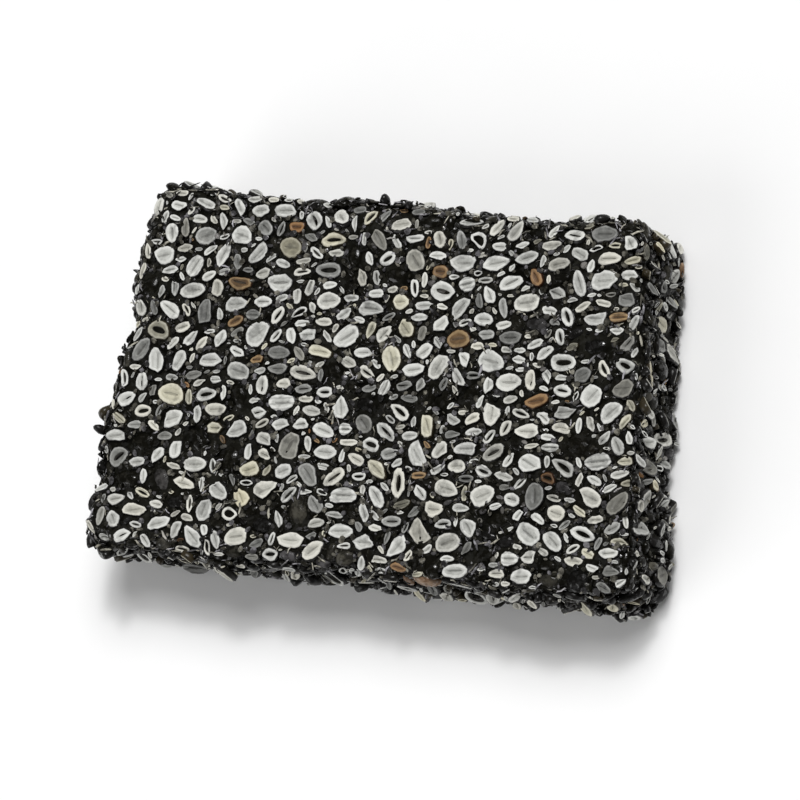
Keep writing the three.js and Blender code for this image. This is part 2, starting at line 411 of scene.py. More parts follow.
def arris_inset(z):
    """How far the edge draws in towards the broad faces."""
    from_face = np.minimum(z - SYRUP_DEPTH, THICKNESS - SYRUP_DEPTH - z)
    return ARRIS * (1 - ease(0, 1.4 * ARRIS, from_face))


def stand_on_edge(seeds, sink, lean, roll=0.0):
    """Origins and axes of seeds in the crumbly edge, sunk by so much and leaning out."""
    x, y, nx, ny = outline_at(seeds[:, 3] + OUTLINE_LENGTH / 2)
    z = seeds[:, 4] + THICKNESS / 2
    out = crumble(x, y, z) - sink - np.where(seeds[:, 0] < EDGE_MODELLED, 0, arris_inset(z))
    zero, one = np.zeros(len(seeds)), np.ones(len(seeds))
    axes = basis(seeds[:, 5], lean, zero + roll, np.stack([-ny, nx, zero], 1),
                 np.stack([zero, zero, one], 1), np.stack([nx, ny, zero], 1))
    return np.stack([x + nx * out, y + ny * out, z], 1), axes


def set_in(points, origins, axes, in_edge):
    """Moves points of many seeds from each seed's own axes to the slab's, between its two faces.

    What reaches from the edge into the area of a broad face goes under the syrup there.
    """
    placed = origins[:, None, :] + np.einsum("nki,nij->nkj", points, axes)
    x, y, z = np.moveaxis(placed, 2, 0)
    if in_edge:
        below = SUNK_INSIDE * ease(-0.2, 0.8, depth_inside(x, y)[0])
        placed[..., 2] = np.clip(z, below, THICKNESS - below)
    else:
        proud = THICKNESS + PROUD_SHARE * (z - THICKNESS)
        placed[..., 2] = np.where(z > THICKNESS, proud, np.maximum(z, 0.0))
    return placed


# ---------------------------------------------------------------- cut seeds

# Rings of a cut seed from its skirt in the syrup to its middle line: a distance in from the
# outside of the coat, a share of the way from the rim to the middle line, and a height.
COAT = 0.14
RIM = 0.4
FINE_RINGS = [(0.06, 0, -0.8), (0.0, 0, -0.3), (0.02, 0, -0.14), (0.07, 0, -0.045), (COAT, 0, -0.01),
              (0.2, 0, 0.033), (0.32, 0, 0.025), (RIM, 0, -0.02),
              (RIM, 0.36, -0.3), (RIM, 0.7, -0.7), (RIM, 0.95, -2.4)]
PLAIN_RINGS = [(0.05, 0, -0.7), (0.0, 0, -0.2), (COAT, 0, -0.01), (0.25, 0, 0.03),
               (RIM, 0, -0.02), (RIM, 0.5, -0.45), (RIM, 0.92, -2.0)]
MIDDLE_LONG, MIDDLE_WIDE = 0.48, 0.05
GROOVE, GAPE_DEPTH = 0.06, 0.16
FULL_RIM = 0.7              # half width from which a seed has its full coat and rim, in millimetres
FINE_FROM = 0.6             # half length from which a seed has the finer rings
EMPTY = 2.2                 # the gape of a coat with nothing left in it
CROWN = 0.13                # how much lower the rim of a rounded seed lies than its middle
TILT = 0.07                 # how unevenly the flats were cut, as a slope
SETTLED = 0.14              # how far a seed that the knife missed may lie below the face
SHUT, OPEN = (0, 0.12), (0.3, 1.0)      # the gape of seeds that are shut, and of those that are open
OPEN_SHARE, BROKEN_SHARE = 0.24, 0.34   # of all cut seeds
BROKEN_GAPE = 0.2           # how much of its gape a broken seed keeps
BREAKS = 3                  # straight breaks of a broken seed
BREAK_REACH = (0.55, 1.0)   # and how far from its middle they lie, in half sizes
WOBBLES = ((2, 0.045), (3, 0.05), (4, 0.035), (5, 0.025), (7, 0.02))    # waves round it, and their size
BOW = 0.1                   # how bent the seeds are, in half widths
SKIRT = -0.06               # outer rings below this height go down into the syrup at full depth
# Sides and rings of the large cut seeds and the small ones
UPPER_DETAIL = {"fine": (14, FINE_RINGS), "plain": (9, PLAIN_RINGS)}
UNDER_DETAIL = {"fine": (12, PLAIN_RINGS), "plain": (8, PLAIN_RINGS)}
EDGE_DETAIL = {"fine": (13, PLAIN_RINGS), "plain": (9, PLAIN_RINGS)}


def cut_seed_mesh(name, seeds, stand, rng, fine, plain, empty_share=0.008, in_edge=False):
    """Cut seeds: a black coat round a pale flat with a raised rim and a groove or slit inside."""
    n = len(seeds)
    broken = rng.random(n) < BROKEN_SHARE
    gape = np.where(rng.random(n) < OPEN_SHARE, rng.uniform(*OPEN, n), rng.uniform(*SHUT, n))
    gape[broken] *= BROKEN_GAPE
    gape[rng.random(n) < empty_share] = EMPTY
    look = np.stack([rng.random(n), gape, rng.random(n)], 1)

    parts = []
    large = seeds[:, 1] >= FINE_FROM
    for chosen, (around, rings) in ((large, fine), (~large, plain)):
        points, ring_at = cut_seed_points(seeds[chosen], gape[chosen], broken[chosen], around, rings, rng)
        count, size = points.shape[:2]
        half_long, half_wide = seeds[chosen, 1, None], seeds[chosen, 2, None]
        where = np.stack([ring_at, points[..., 0] / half_long, points[..., 1] / half_wide], 2)
        placed = set_in(points, stand[0][chosen], stand[1][chosen], in_edge)
        parts.append((placed.reshape(-1, 3), ringed_faces(count, len(rings), around),
                      look[chosen].repeat(size, axis=0), where.reshape(-1, 3)))
    return joined_piece(name, parts)


def cut_seed_points(seeds, gape, broken, around, rings, rng):
    """Points of cut seeds in their own axes, with each point's ring value."""
    n = len(seeds)
    half_long, half_wide = seeds[:, 1, None], seeds[:, 2, None]
    angle = (np.arange(around) + 0.5) / around * TURN
    cos, sin = np.cos(angle), np.sin(angle)
    factor = np.ones((n, around))
    for wave, size in WOBBLES:
        factor += rng.normal(0, size, (n, 1)) * np.cos(wave * angle + rng.random((n, 1)) * TURN)
    for _ in range(BREAKS):
        facing = np.cos(angle - rng.random((n, 1)) * TURN)
        reach = rng.uniform(*BREAK_REACH, (n, 1))
        limit = np.where(facing > 0.05, reach / np.maximum(facing, 0.05), 9.0)
        factor = np.where(broken[:, None], np.minimum(factor, limit), factor)
    factor += np.where(broken[:, None], rng.normal(0, 0.03, (n, around)), 0)
    small = np.minimum(1.0, half_wide / FULL_RIM)
    bow = rng.normal(0, BOW, (n, 1))
    tip = rng.normal(0, TILT, (2, n, 1))
    crown = rng.uniform(0, CROWN, (n, 1)) * small

    points = np.zeros((n, len(rings) * around + 2, 3))
    ring_at = np.zeros((n, len(rings) * around + 2))
    for r, (inset, share, height) in enumerate(rings):
        rows = slice(r * around, (r + 1) * around)
        u = (half_long - inset * small) * cos * factor
        v = (half_wide - inset * small) * sin * (1 - EGG * cos) * factor
        wide = MIDDLE_WIDE + 0.14 * gape[:, None]
        u += (half_long * MIDDLE_LONG * cos - u) * share
        v += (half_wide * wide * sin - v) * share
        depth = GROOVE + GAPE_DEPTH * gape[:, None] if share else 1.0
        points[:, rows, 0] = u
        points[:, rows, 1] = v + bow * half_wide * (u / half_long) ** 2
        points[:, rows, 2] = height * depth * (1.0 if height < SKIRT and not share else small)
        if share or height > SKIRT:
            points[:, rows, 2] += tip[0] * u + tip[1] * v
        points[:, rows, 2] -= crown * ((u / half_long) ** 2 + (v / half_wide) ** 2)
        ring_at[:, rows] = inset + share
    points[:, -2] = points[:, :around].mean(axis=1)
    points[:, -1] = points[:, -2 - around:-2].mean(axis=1)
    ring_at[:, -1] = RIM + 1
    return points, ring_at


# ---------------------------------------------------------------- whole seeds

DENTS = ((1.5, 2, 0.035), (2.5, 3, 0.03), (4, 1, 0.025))     # waves along and round it, and their size
FLECK = {"around": 6, "stations": 3}    # the plain shape of crumbs, husks and splinters


def whole_seed_mesh(name, seeds, stand, rng, around=12, stations=7, flatness=WHOLE_FLATNESS,
                    dented=1.0, bent=0.0, smooth=True, in_edge=False):
    """Whole seeds: egg-shaped, flatter one way, a little dented, with a pinched tip."""
    n = len(seeds)
    along = -np.cos(np.arange(1, stations + 1) / (stations + 1) * math.pi)
    girth = np.sqrt(1 - along ** 2) * (1 - EGG * along)
    angle = np.arange(around) / around * TURN
    dent = np.ones((n, stations, around))
    for wave_long, wave_round, size in DENTS:
        phase = rng.random((n, 1, 1)) * TURN
        dent += rng.normal(0, size * dented, (n, 1, 1)) * np.sin(
            wave_long * along[:, None] * 2 + wave_round * angle[None, :] + phase)
    half_long, half_wide = seeds[:, 1, None, None], seeds[:, 2, None, None]
    points = np.zeros((n, stations * around + 2, 3))
    u = np.broadcast_to(half_long * along[:, None], (n, stations, around))
    v = half_wide * girth[:, None] * np.cos(angle) * dent
    v = v + rng.uniform(-bent, bent, (n, 1, 1)) * half_long * along[:, None] ** 2
    w = half_wide * flatness * girth[:, None] * np.sin(angle) * dent
    points[:, :-2] = np.stack([u, v, w], 3).reshape(n, -1, 3)
    points[:, -2, 0], points[:, -1, 0] = -seeds[:, 1], seeds[:, 1]
    size = points.shape[1]
    look = np.stack([rng.random(n), rng.random(n), rng.random(n)], 1).repeat(size, axis=0)
    where = points / np.stack([seeds[:, 1], seeds[:, 2], seeds[:, 2]], 1)[:, None, :]
    placed = set_in(points, *stand, in_edge)
    faces = ringed_faces(n, stations, around)
    return joined_piece(name, [(placed.reshape(-1, 3), faces, look, where.reshape(-1, 3))], smooth)


# ---------------------------------------------------------------- the syrup

REMESH = 0.31               # the syrup's mesh, in millimetres
BLOCK_STEPS, BLOCK_LEVELS = 360, 20     # of the block that is remeshed
FACE_SAG = 0.42             # how far the syrup of a broad face sinks between seeds
CLIMB = 0.16                # and how far it climbs at a seed's side
EDGE_SAG, EDGE_SAG_MORE = 0.2, 0.6      # how far that of the edges sinks at least, and more between seeds
FACE_SKIN = (0.45, 0.05)    # depths at which syrup begins to count as a broad face's, and does wholly
EDGE_SKIN = (2.6, 1.6)      # and the same for the edge
COARSE_LUMPS, FINE_LUMPS = (0.5, 0.75), (0.35, 0.38)        # size and cell of the lumps
FACE_LUMPS, EDGE_LUMPS = 0.16, 0.3      # how high they are on the faces and the edges
OUTLINE_SAMPLES = 1400      # places along the outline from which the nearest is looked up
LEAST_COVER = 0.02          # how far the syrup stays inside the two planes of the slab


def gap_to_nearest(x, y, circles):
    """Distance to the edge of the nearest seed's circles, negative inside one."""
    nearest = np.full(x.shape, np.inf)
    for first in range(0, len(x), CHUNK):
        part = slice(first, first + CHUNK)
        away = np.hypot(x[part, None] - circles[0], y[part, None] - circles[1]) - circles[2]
        nearest[part] = away.min(axis=1)
    return nearest


def face_sag(gap):
    """How far the syrup of a broad face sinks between seeds, by the distance to the nearest."""
    return FACE_SAG * ease(0.05, 0.4, gap) - CLIMB * ease(0.16, 0.0, np.abs(gap))


def edge_sag(gap):
    """The same for the syrup of the edges."""
    return EDGE_SAG + EDGE_SAG_MORE * ease(0.0, 0.5, gap)


def syrup_block(name):
    """An evenly meshed block on the roughened outline, before the syrup sinks between the seeds."""
    steps, levels = BLOCK_STEPS, BLOCK_LEVELS
    ox, oy, nx, ny = outline_at(np.arange(steps) / steps * OUTLINE_LENGTH)
    rows = []
    for z in np.linspace(SYRUP_DEPTH, THICKNESS - SYRUP_DEPTH, levels):
        out = crumble(ox, oy, np.full(steps, z)) - arris_inset(z)
        rows.append(np.stack([ox + nx * out, oy + ny * out, np.full(steps, z)], 1))
    points = np.concatenate(rows)
    i = np.arange(steps)
    j = (i + 1) % steps
    quads = np.concatenate([np.stack([i, j, steps + j, steps + i], 1) + r * steps
                            for r in range(levels - 1)])
    lids = [i[::-1][None], (i + (levels - 1) * steps)[None]]
    rough = mesh_piece(name + "_block", points, [quads] + lids)
    remesh = rough.modifiers.new("even mesh", "REMESH")
    remesh.mode = "VOXEL"
    remesh.voxel_size = REMESH * MM
    depsgraph = bpy.context.evaluated_depsgraph_get()
    mesh = bpy.data.meshes.new_from_object(rough.evaluated_get(depsgraph))
    bpy.data.objects.remove(rough)
    return mesh


def distance_along(x, y):
    """The distance along the outline of the place on it that is nearest to each point."""
    samples = np.linspace(0, OUTLINE_LENGTH, OUTLINE_SAMPLES, endpoint=False)
    sx, sy, _, _ = outline_at(samples)
    along = np.zeros(len(x))
    for first in range(0, len(x), CHUNK):
        part = slice(first, first + CHUNK)
        away = np.hypot(x[part, None] - sx, y[part, None] - sy)
        along[part] = samples[away.argmin(axis=1)]
    return along


def syrup_body(name, top_circles, under_circles, edge_circles):
    """The hard syrup: the roughened block, sunk between the seeds of every surface."""
    mesh = syrup_block(name)
    at = np.zeros(len(mesh.vertices) * 3, np.float32)
    mesh.vertices.foreach_get("co", at)
    at = at.reshape(-1, 3).astype(float) / MM
    x, y, z = at.T
    depth, out_x, out_y = depth_inside(x, y)
    deep, shallow = FACE_SKIN
    top = ease(THICKNESS - SYRUP_DEPTH - deep, THICKNESS - SYRUP_DEPTH - shallow, z)
    under = ease(SYRUP_DEPTH + deep, SYRUP_DEPTH + shallow, z)
    side = (1 - top) * (1 - under) * ease(*EDGE_SKIN, depth)

    lumps = sum(size * unevenness(x, y, z, cell) for size, cell in (COARSE_LUMPS, FINE_LUMPS))
    for share, circles, sign in ((top, top_circles, -1), (under, under_circles, 1)):
        on = share > 0
        sag = face_sag(gap_to_nearest(x[on], y[on], circles))
        z[on] += sign * share[on] * (sag + FACE_LUMPS * lumps[on] + wear(x[on], y[on], sign < 0))

    on = np.flatnonzero(side > 0)
    along = distance_along(x[on], y[on])
    gap = gap_to_nearest(along - OUTLINE_LENGTH / 2, z[on] - THICKNESS / 2, edge_circles)
    push = side[on] * (EDGE_LUMPS * lumps[on] - edge_sag(gap))
    x[on] += out_x[on] * push
    y[on] += out_y[on] * push
    z[:] = np.clip(z, LEAST_COVER, THICKNESS - LEAST_COVER)
    mesh.vertices.foreach_set("co", (np.stack([x, y, z], 1) * MM).astype(np.float32).ravel())
    mesh.polygons.foreach_set("use_smooth", np.ones(len(mesh.polygons), bool))
    mesh.update()
    mesh.name = name
    body = bpy.data.objects.new(name, mesh)
    bpy.context.collection.objects.link(body)
    return body


# ---------------------------------------------------------------- finishes

def new_group(name, inputs, outputs):
    """A shader node group with named sockets, and its two end nodes."""
    group = bpy.data.node_groups.new(name, "ShaderNodeTree")
    for label, kind, value in inputs:
        socket = group.interface.new_socket(label, in_out="INPUT", socket_type=kind)
        socket.default_value = value
    for label, kind in outputs:
        group.interface.new_socket(label, in_out="OUTPUT", socket_type=kind)
    return group, group.nodes.new("NodeGroupInput"), group.nodes.new("NodeGroupOutput")


class Tree:
    """Short calls for adding and linking nodes in one tree."""

    def __init__(self, tree):
        self.tree = tree

    def node(self, kind, settings=None, **links):
        made = self.tree.nodes.new(kind)
        for key, value in (settings or {}).items():
            setattr(made, key, value)
        for key, value in links.items():
            self.feed(made, key, value)
        return made

    def feed(self, node, socket, value):
        target = node.inputs[int(socket)] if socket.isdigit() else node.inputs[socket]
        if isinstance(value, bpy.types.NodeSocket):
            self.tree.links.new(value, target)
        else:
            target.default_value = value

    def math(self, operation, a, b=0.0, clamp=False):
        made = self.tree.nodes.new("ShaderNodeMath")
        made.operation, made.use_clamp = operation, clamp
        self.feed(made, "0", a)
        self.feed(made, "1", b)
        return made.outputs[0]

    def step(self, value, low, high, to_low=0.0, to_high=1.0):
        """A smooth rise from one value to another."""
        made = self.tree.nodes.new("ShaderNodeMapRange")
        made.interpolation_type = "SMOOTHSTEP"
        for socket, amount in zip(range(5), (value, low, high, to_low, to_high)):
            self.feed(made, str(socket), amount)
        return made.outputs[0]

    def mix(self, share, a, b, blend="MIX"):
        made = self.tree.nodes.new("ShaderNodeMix")
        made.data_type, made.blend_type = "RGBA", blend
        self.feed(made, "0", share)
        self.feed(made, "6", a)
        self.feed(made, "7", b)
        return made.outputs[2]

    def scaled(self, colour, amount):
        """A colour made darker or lighter by an amount."""
        grey = self.node("ShaderNodeCombineColor", None, Red=amount, Green=amount, Blue=amount)
        return self.mix(1.0, colour, grey.outputs[0], "MULTIPLY")

    def noise(self, scale, detail=3.0, roughness=0.55):
        place = self.tree.nodes.new("ShaderNodeTexCoord")
        made = self.tree.nodes.new("ShaderNodeTexNoise")
        self.tree.links.new(place.outputs["Object"], made.inputs["Vector"])
        made.inputs["Scale"].default_value = scale
        made.inputs["Detail"].default_value = detail
        made.inputs["Roughness"].default_value = roughness
        return made.outputs["Fac"]

    def attribute(self, name):
        made = self.tree.nodes.new("ShaderNodeAttribute")
        made.attribute_type, made.attribute_name = "GEOMETRY", name
        parts = self.tree.nodes.new("ShaderNodeSeparateXYZ")
        self.tree.links.new(made.outputs["Vector"], parts.inputs[0])
        return parts.outputs


def finish_material(started, base, roughness, height, bump, reach, wet=None):
    """Links a started material's colour, roughness and height, and its coat of syrup if any."""
    material, t, shader = started
    t.feed(shader, "Base Color", base)
    t.feed(shader, "Roughness", roughness)
    raised = t.node("ShaderNodeBump", None, Strength=bump, Distance=reach, Height=height)
    t.feed(shader, "Normal", raised.outputs[0])
    if wet is not None:
        t.feed(shader, "Coat Weight", wet)
        shader.inputs["Coat Roughness"].default_value = 0.08
        shader.inputs["Coat IOR"].default_value = 1.45
    return material


def start_material(name, shine=0.25):
    """A material with its tree and its shader."""
    material = bpy.data.materials.new(name)
    material.use_nodes = True
    tree = material.node_tree
    shader = next(n for n in tree.nodes if n.type == "BSDF_PRINCIPLED")
    shader.inputs["Specular IOR Level"].default_value = shine
    return material, Tree(tree), shader


def syrup_film_group():
    """Hard syrup on anything: patchy gloss with wet-looking specks, small pits and a faint bloom."""
    group, start, end = new_group(
        "syrup film",
        [("Gloss", "NodeSocketFloat", 0.3), ("Bloom", "NodeSocketFloat", 0.3)],
        [("Roughness", "NodeSocketFloat"), ("Height", "NodeSocketFloat"),
         ("Bloom", "NodeSocketFloat"), ("Wet", "NodeSocketFloat")])
    t = Tree(group)
    patches = t.noise(700.0, 3.0, 0.6)
    pits = t.noise(3200.0, 2.0, 0.5)
    dull = t.step(patches, 0.42, 0.68, 0.0, 0.15)
    rough = t.math("ADD", start.outputs["Gloss"], dull)
    group.links.new(rough, end.inputs["Roughness"])
    group.links.new(t.math("ADD", t.math("MULTIPLY", patches, 0.6), t.math("MULTIPLY", pits, 0.4)),
                    end.inputs["Height"])
    veil = t.math("MULTIPLY", t.step(patches, 0.5, 0.75), start.outputs["Bloom"])
    group.links.new(t.math("MULTIPLY", veil, t.step(pits, 0.35, 0.7)), end.inputs["Bloom"])
    group.links.new(t.step(t.noise(1700.0, 3.0, 0.6), 0.52, 0.6, 0.0, 0.9), end.inputs["Wet"])
    return group


def seed_section_group():
    """A cut seed's section, from its ring value: coat, pale rim, flesh and the slit inside, with the flesh
    and rim mottled by uneven tone and by painted highlights and painted shade.
    """
    group, start, end = new_group(
        "seed section",
        [("Ring", "NodeSocketFloat", 0.0), ("Gape", "NodeSocketFloat", 0.0),
         ("Tone", "NodeSocketFloat", 0.5), ("Across", "NodeSocketFloat", 0.0),
         ("Ribs", "NodeSocketFloat", 0.0), ("Flesh", "NodeSocketColor", (0.3, 0.3, 0.28, 1)),
         ("Rim", "NodeSocketColor", (0.6, 0.6, 0.57, 1)),
         ("Coat", "NodeSocketColor", (0.01, 0.01, 0.01, 1)),
         ("Slit", "NodeSocketColor", (0.04, 0.036, 0.03, 1))],
        [("Color", "NodeSocketColor"), ("Flat", "NodeSocketFloat")])
    t = Tree(group)
    ring, gape, tone = (start.outputs[k] for k in ("Ring", "Gape", "Tone"))
    wander = t.math("MULTIPLY", t.math("SUBTRACT", t.noise(2600.0, 2.0), 0.5), 0.13)
    ring = t.math("ADD", ring, wander)
    # This cloud mottles the flesh and the rim: partly the seed's own uneven tone, partly painted highlights
    # and painted shade.
    cloud = t.noise(1500.0, 4.0, 0.65)
    tone_and_painted_light = t.math("ADD", t.math("MULTIPLY", tone, 0.6), t.math("MULTIPLY", cloud, 1.2))
    flesh = t.scaled(start.outputs["Flesh"], t.step(tone_and_painted_light, 0.35, 1.3, 0.55, 1.35))
    rim = t.scaled(start.outputs["Rim"], t.step(tone_and_painted_light, 0.3, 1.2, 0.7, 1.3))
    rim_ends = t.math("ADD", t.math("MULTIPLY", tone, 0.5), RIM - 0.04)
    pale = t.mix(t.step(ring, COAT + 0.12, rim_ends), rim, flesh)
    slit_from = t.math("SUBTRACT", 1.26, t.math("MULTIPLY", gape, 0.3))
    slit = t.math("MULTIPLY", t.step(ring, slit_from, t.math("ADD", slit_from, 0.1)),
                  t.step(gape, 0.0, 0.4, 0.35, 1.0))
    pale = t.mix(slit, pale, start.outputs["Slit"])
    bent = t.math("ADD", t.math("MULTIPLY", start.outputs["Across"], 11.0), t.math("MULTIPLY", cloud, 5.0))
    rib = t.step(t.math("SINE", bent), -0.2, 0.9)
    pale = t.scaled(pale, t.math("SUBTRACT", 1.0, t.math("MULTIPLY", rib, start.outputs["Ribs"])))
    pale = t.scaled(pale, t.step(tone, 0.0, 0.3, 0.48, 1.0))
    pale = t.scaled(pale, t.step(t.noise(800.0, 3.0, 0.6), 0.3, 0.5, 0.6, 1.0))
    flat = t.step(ring, COAT - 0.03, COAT + 0.03)
    group.links.new(t.mix(flat, start.outputs["Coat"], pale), end.inputs["Color"])
    group.links.new(flat, end.inputs["Flat"])
    return group


def cut_seed_material(name, flesh, rim, coat, film, section, roasted=(1.0, 0.94, 0.8, 1)):
    """Cut seeds of one colour, some of them roasted a little warmer."""
    made = start_material(name)
    t = made[1]
    look, place = t.attribute("seed_look"), t.attribute("seed_place")
    ribs = t.math("ADD", t.step(look[2], 0.0, 0.5, 0.2, 0.05), t.step(look[2], 0.06, 0.1, 0.25, 0.0))
    cut = t.node("ShaderNodeGroup", {"node_tree": section}, Ring=place[0], Gape=look[1], Tone=look[0],
                 Across=place[2], Ribs=ribs, Flesh=flesh, Rim=rim, Coat=coat,
                 Slit=(0.045, 0.042, 0.036, 1))
    glaze = t.node("ShaderNodeGroup", {"node_tree": film}, Gloss=0.22, Bloom=0.0)
    warm = t.mix(t.step(look[2], 0.55, 1.0, 0.0, 0.5), cut.outputs["Color"],
                 t.mix(1.0, cut.outputs["Color"], roasted, "MULTIPLY"))
    grain = t.noise(5200.0, 3.0, 0.6)
    height = t.math("ADD", t.math("MULTIPLY", grain, 0.5), t.math("MULTIPLY", glaze.outputs["Height"], 0.5))
    rough = t.math("ADD", glaze.outputs["Roughness"], t.math("MULTIPLY", cut.outputs["Flat"], 0.2))
    return finish_material(made, warm, rough, height, bump=0.5, reach=0.00004)


def black_seed_material(name, dark, pale, share, film):
    """Seed coats of two tones: dark up to the first share of the seeds, and pale past the second."""
    made = start_material(name, shine=0.05)
    t = made[1]
    look = t.attribute("seed_look")
    glaze = t.node("ShaderNodeGroup", {"node_tree": film}, Gloss=0.1, Bloom=0.5)
    rubbed = t.step(t.noise(900.0, 4.0, 0.7), 0.42, 0.6, 0.2)
    tone = t.math("MULTIPLY", t.step(look[0], *share), rubbed)
    scuff = t.step(t.noise(1500.0, 4.0, 0.7), 0.5, 0.72)
    veil = t.math("ADD", t.math("MULTIPLY", tone, 0.85), t.math("MULTIPLY", scuff, 0.15), clamp=True)
    veil = t.math("ADD", veil, t.math("MULTIPLY", glaze.outputs["Bloom"], 0.2), clamp=True)
    # A warm hue or a violet one for each seed: the warm one is the seed's own colour, the violet one partly
    # its own tint and partly a painted violet reflection.
    hue_and_violet_reflection = t.mix(t.step(look[1], 0.45, 0.75), (1.0, 0.96, 0.84, 1), (0.92, 0.9, 1.0, 1))
    colour = t.mix(1.0, t.mix(veil, dark, pale), hue_and_violet_reflection, "MULTIPLY")
    return finish_material(made, colour, glaze.outputs["Roughness"], glaze.outputs["Height"],
                           bump=0.9, reach=0.00012, wet=glaze.outputs["Wet"])


def syrup_material(name, film):
    """Nearly black hard syrup, a little lighter and duller in patches."""
    made = start_material(name, shine=0.05)
    t = made[1]
    glaze = t.node("ShaderNodeGroup", {"node_tree": film}, Gloss=0.12, Bloom=0.4)
    depth = t.step(t.noise(420.0, 3.0, 0.6), 0.35, 0.7)
    colour = t.mix(depth, (0.0026, 0.0024, 0.0016, 1), (0.012, 0.0115, 0.0088, 1))
    colour = t.mix(t.math("MULTIPLY", glaze.outputs["Bloom"], 0.3), colour, (0.06, 0.058, 0.048, 1))
    return finish_material(made, colour, glaze.outputs["Roughness"], glaze.outputs["Height"],
                           bump=0.7, reach=0.00014, wet=glaze.outputs["Wet"])


film, section = syrup_film_group(), seed_section_group()
cut_pale = cut_seed_material("cut_seeds", flesh=(0.395, 0.398, 0.373, 1), rim=(0.53, 0.532, 0.506, 1),
                             coat=(0.008, 0.0075, 0.007, 1), film=film, section=section)
cut_cream = cut_seed_material("cream_seeds", flesh=(0.39, 0.374, 0.29, 1), rim=(0.51, 0.492, 0.4, 1),
                              coat=(0.03, 0.024, 0.014, 1), film=film, section=section)
cut_amber = cut_seed_material("amber_seeds", flesh=(0.12, 0.072, 0.034, 1), rim=(0.25, 0.17, 0.088, 1),
                              coat=(0.03, 0.014, 0.007, 1), film=film, section=section,
                              roasted=(0.8, 0.46, 0.26, 1))
dim_bits = black_seed_material("crumbs", dark=(0.0072, 0.007, 0.0055, 1),
                               pale=(0.26, 0.257, 0.245, 1), share=(0.2, 1.1), film=film)
edge_bits = black_seed_material("edge_crumbs", dark=(0.0042, 0.004, 0.003, 1),
                                pale=(0.34, 0.337, 0.32, 1), share=(0.6, 0.9), film=film)
# Pale splinters along the arrises, and pale husks whose pale tone also stands in for painted glints along
# wet seed coats.
pale_bits_and_glints = black_seed_material("slivers", dark=(0.01, 0.0096, 0.008, 1),
                                pale=(0.55, 0.548, 0.525, 1), share=(0.15, 0.75), film=film)
coat_black = black_seed_material("black_seeds", dark=(0.0046, 0.0044, 0.0034, 1),
                                 pale=(0.1, 0.098, 0.09, 1), share=(0.6, 1.0), film=film)
coat_amber = black_seed_material("amber_coats", dark=(0.12, 0.066, 0.032, 1),
                                 pale=(0.37, 0.27, 0.17, 1), share=(0.0, 0.7), film=film)
dark_syrup = syrup_material("syrup", film)


def dress(piece, material):
    """Gives a piece of the slab its finish and its place in the frame."""
    piece.data.materials.append(material)
    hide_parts("brittle_slab")
    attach(piece, "root")


# ---------------------------------------------------------------- the camera and the light

VIEW_LEAN = math.radians(26)     # of the view from straight down, towards the right end
VIEW_TIP = math.radians(8)       # and towards the near long edge
VIEW_ROLL = math.radians(8.5)    # the slab lies turned a little clockwise in the view
VIEW_AIM = (0.0008, -0.0004, THICKNESS * MM * 0.6)     # metres, as are the next two
VIEW_FROM = 0.55
FRAME_WIDE = 0.0745              # across the view at the slab
WINDOW_SIDE = (0.18, 0.5, 0.85)  # the direction of the main light
SHADE_SIDE = (-0.55, -0.65, 0.5)


def add_camera():
    """A long lens above the slab, a little off straight down."""
    back = Vector((math.tan(VIEW_LEAN), -math.tan(VIEW_TIP), 1)).normalized()
    up = (Vector((0, 1, 0)) - back * back.y).normalized()
    turned_up = Matrix.Rotation(VIEW_ROLL, 3, back) @ up
    right = turned_up.cross(back)
    data = bpy.data.cameras.new("camera")
    data.sensor_width = 36
    data.lens = data.sensor_width * VIEW_FROM / FRAME_WIDE
    data.clip_start, data.clip_end = 0.01, 10
    camera = bpy.data.objects.new("camera", data)
    axes = Matrix((right, turned_up, back)).transposed().to_4x4()
    camera.matrix_world = Matrix.Translation(Vector(VIEW_AIM) + back * VIEW_FROM) @ axes
    bpy.context.collection.objects.link(camera)
    bpy.context.scene.camera = camera


def add_soft_sun(name, toward, wide, strength):
    """Even light from one direction, from as wide a part of the sky as a large soft box."""
    data = bpy.data.lights.new(name, "SUN")
    data.angle, data.energy = math.radians(wide), strength
    lamp = bpy.data.objects.new(name, data)
    lamp.location = toward
    lamp.rotation_euler = Vector(toward).to_track_quat("Z", "Y").to_euler()
    bpy.context.collection.objects.link(lamp)


def add_studio():
    """White surroundings, three soft suns and a pale floor."""
    scene = bpy.context.scene
    scene.view_settings.view_transform = "Standard"
    world = bpy.data.worlds.new("studio")
    world.use_nodes = True
    t = Tree(world.node_tree)
    room, output = (world.node_tree.nodes[k] for k in ("Background", "World Output"))
    room.inputs["Color"].default_value = (1, 1, 1, 1)
    room.inputs["Strength"].default_value = 0.2
    wall = t.node("ShaderNodeBackground", None, Color=(1, 1, 1, 1), Strength=1.0)
    seen = t.node("ShaderNodeLightPath").outputs["Is Camera Ray"]
    both = t.node("ShaderNodeMixShader", None)
    for socket, value in zip("012", (seen, room.outputs[0], wall.outputs[0])):
        t.feed(both, socket, value)
    t.feed(output, "Surface", both.outputs[0])
    scene.world = world
    add_soft_sun("key", WINDOW_SIDE, wide=34, strength=2.0)
    add_soft_sun("sparkle", WINDOW_SIDE, wide=9, strength=0.85)
    add_soft_sun("fill", SHADE_SIDE, wide=44, strength=0.95)

    bpy.ops.mesh.primitive_plane_add(size=8.0, location=(0, 0, 0))
    floor = bpy.context.object
    floor.name = "floor"
    material, t, shader = start_material("pale_floor")
    clean = t.noise(60.0, 2.0)
    t.feed(shader, "Base Color", t.mix(clean, (0.9, 0.9, 0.9, 1), (0.93, 0.93, 0.93, 1)))
    shader.inputs["Roughness"].default_value = 0.7
    floor.data.materials.append(material)


# ---------------------------------------------------------------- dealing seeds and bits out

